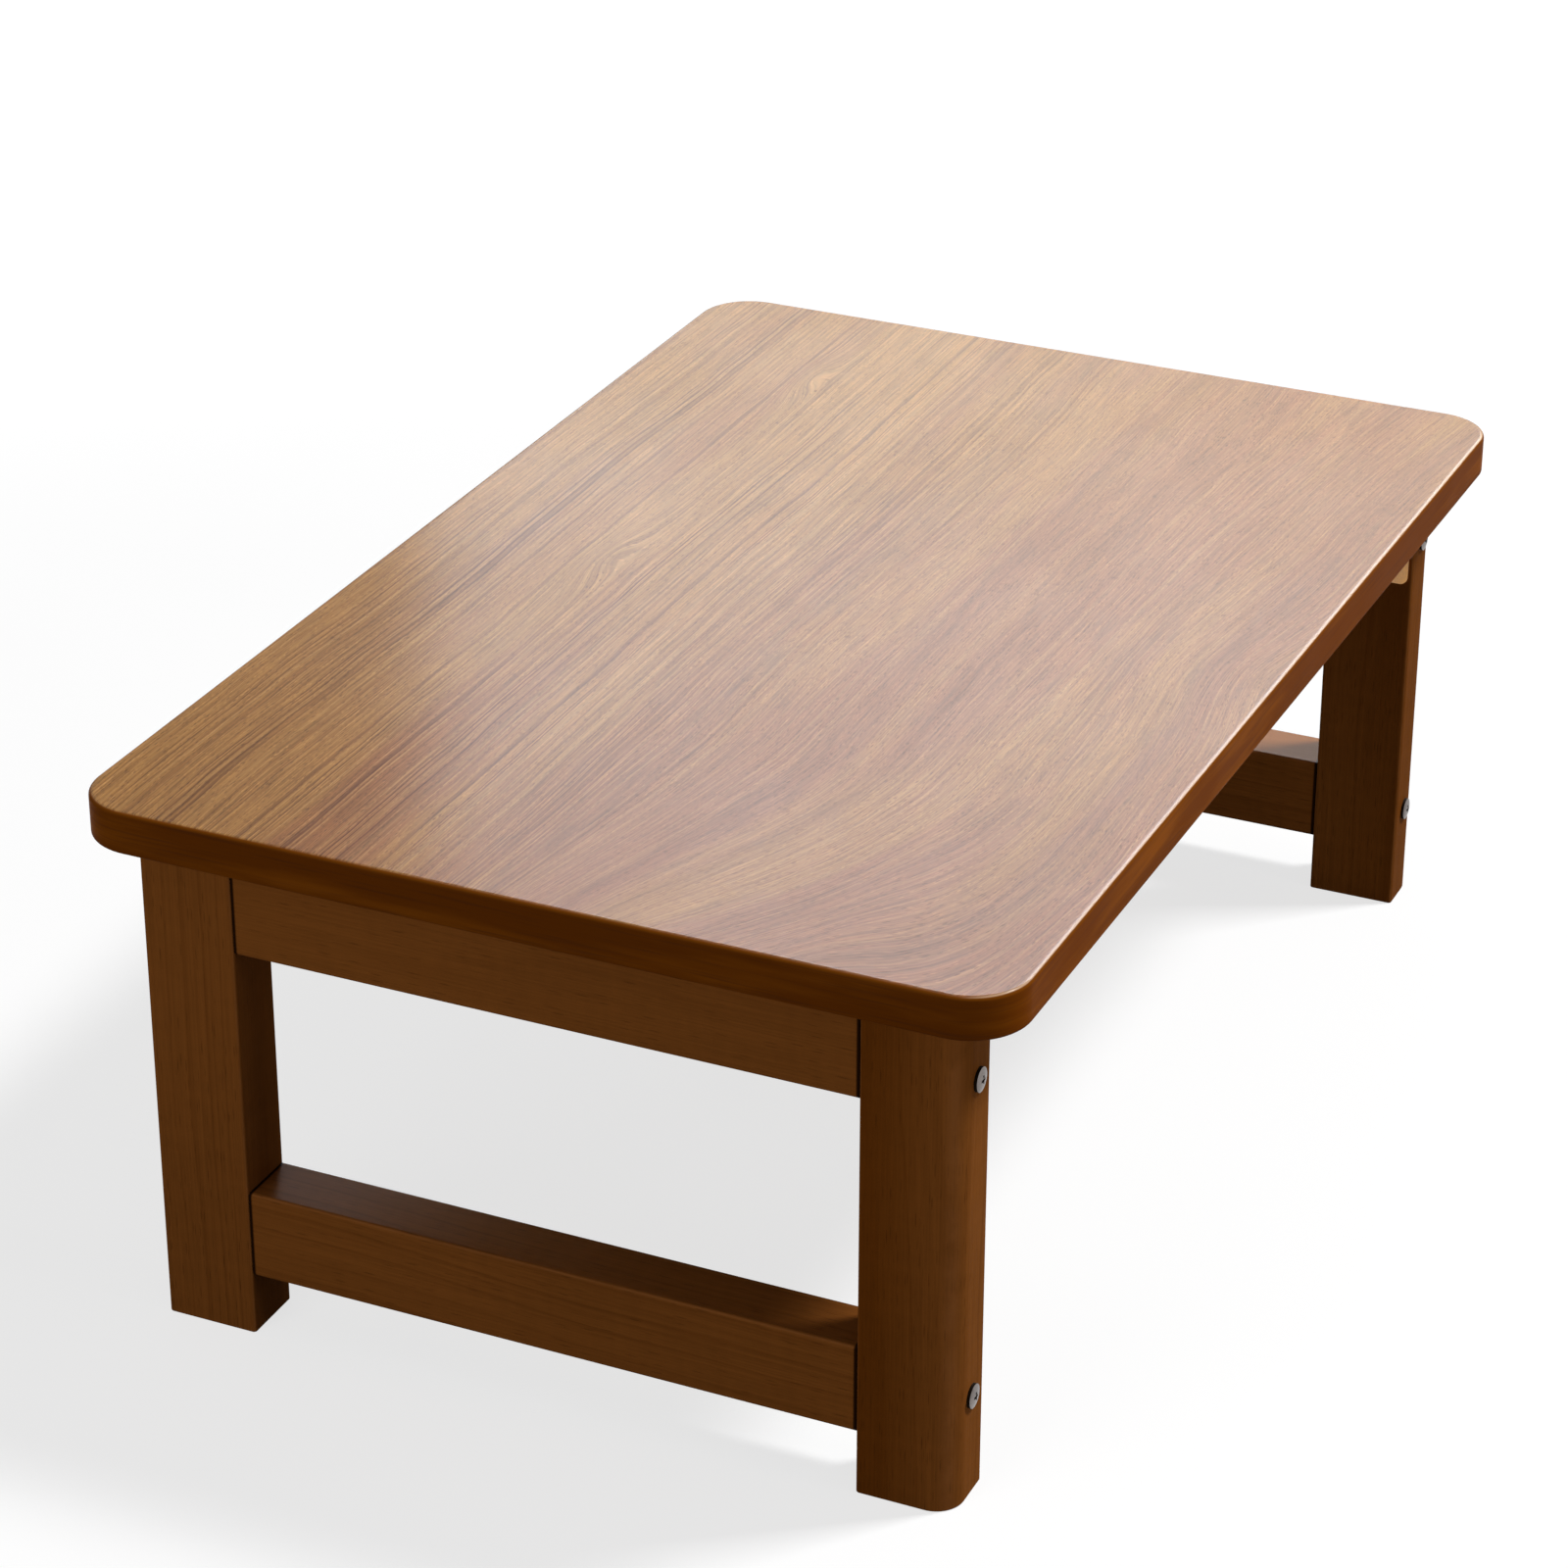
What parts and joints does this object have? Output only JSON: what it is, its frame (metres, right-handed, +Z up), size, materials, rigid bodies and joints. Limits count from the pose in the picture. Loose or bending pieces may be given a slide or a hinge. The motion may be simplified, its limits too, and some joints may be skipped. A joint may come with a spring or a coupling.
{
  "type": "folding low table",
  "caption": "Low wooden table whose two ladder shaped leg frames fold flat under a thick rounded rectangular top.",
  "frame": {"origin": "on the floor under the middle of the tabletop", "axes": "+Y along the length of the top, +X across it to the right, +Z up"},
  "size_m": [0.6, 0.92, 0.361],
  "materials": {
    "top_wood": "satin lacquer, walnut stain",
    "frame_wood": "satin lacquer, dark walnut stain",
    "dowel_wood": "bare beech",
    "bracket_steel": "yellow zinc plate",
    "screw_steel": "zinc plate",
    "bolt_steel": "zinc plate",
    "nut_steel": "zinc plate"
  },
  "bodies": {
    "top": {"tabletop": "top_wood", "front_left_top_plate": "bracket_steel", "front_left_top_plate_screws": "screw_steel", "front_left_pivot_bolt": "bolt_steel", "front_left_spring_washer": "bolt_steel", "front_right_top_plate": "bracket_steel", "front_right_top_plate_screws": "screw_steel", "front_right_pivot_bolt": "bolt_steel", "front_right_spring_washer": "bolt_steel", "rear_left_top_plate": "bracket_steel", "rear_left_top_plate_screws": "screw_steel", "rear_left_pivot_bolt": "bolt_steel", "rear_left_spring_washer": "bolt_steel", "rear_right_top_plate": "bracket_steel", "rear_right_top_plate_screws": "screw_steel", "rear_right_pivot_bolt": "bolt_steel", "rear_right_spring_washer": "bolt_steel"},
    "front_left_nut": {"front_left_wing_nut": "nut_steel"},
    "front_right_nut": {"front_right_wing_nut": "nut_steel"},
    "front_frame": {"front_upper_rail": "frame_wood", "front_lower_rail": "frame_wood", "front_left_leg": "frame_wood", "front_left_upper_frame_screw": "screw_steel", "front_left_lower_frame_screw": "screw_steel", "front_left_dowels": "dowel_wood", "front_left_leg_plate": "bracket_steel", "front_left_leg_plate_screws": "screw_steel", "front_right_leg": "frame_wood", "front_right_upper_frame_screw": "screw_steel", "front_right_lower_frame_screw": "screw_steel", "front_right_dowels": "dowel_wood", "front_right_leg_plate": "bracket_steel", "front_right_leg_plate_screws": "screw_steel"},
    "rear_left_nut": {"rear_left_wing_nut": "nut_steel"},
    "rear_right_nut": {"rear_right_wing_nut": "nut_steel"},
    "rear_frame": {"rear_upper_rail": "frame_wood", "rear_lower_rail": "frame_wood", "rear_left_leg": "frame_wood", "rear_left_upper_frame_screw": "screw_steel", "rear_left_lower_frame_screw": "screw_steel", "rear_left_dowels": "dowel_wood", "rear_left_leg_plate": "bracket_steel", "rear_left_leg_plate_screws": "screw_steel", "rear_right_leg": "frame_wood", "rear_right_upper_frame_screw": "screw_steel", "rear_right_lower_frame_screw": "screw_steel", "rear_right_dowels": "dowel_wood", "rear_right_leg_plate": "bracket_steel", "rear_right_leg_plate_screws": "screw_steel"}
  },
  "joints": [
    {"name": "front_fold", "type": "hinge", "parent": "top", "child": "front_frame", "pos_m": [0, -0.378, 0.317], "axis": [1, 0, 0], "range_deg": [0, 90]},
    {"name": "rear_fold", "type": "hinge", "parent": "top", "child": "rear_frame", "pos_m": [0, 0.378, 0.317], "axis": [-1, 0, 0], "range_deg": [0, 90]},
    {"name": "front_left_nut_turn", "type": "hinge", "parent": "top", "child": "front_left_nut", "pos_m": [-0.197, -0.378, 0.317], "axis": [1, 0, 0], "range_deg": [0, 270]},
    {"name": "front_right_nut_turn", "type": "hinge", "parent": "top", "child": "front_right_nut", "pos_m": [0.197, -0.378, 0.317], "axis": [-1, 0, 0], "range_deg": [0, 270]},
    {"name": "rear_left_nut_turn", "type": "hinge", "parent": "top", "child": "rear_left_nut", "pos_m": [-0.197, 0.378, 0.317], "axis": [1, 0, 0], "range_deg": [0, 270]},
    {"name": "rear_right_nut_turn", "type": "hinge", "parent": "top", "child": "rear_right_nut", "pos_m": [0.197, 0.378, 0.317], "axis": [-1, 0, 0], "range_deg": [0, 270]}
  ]
}
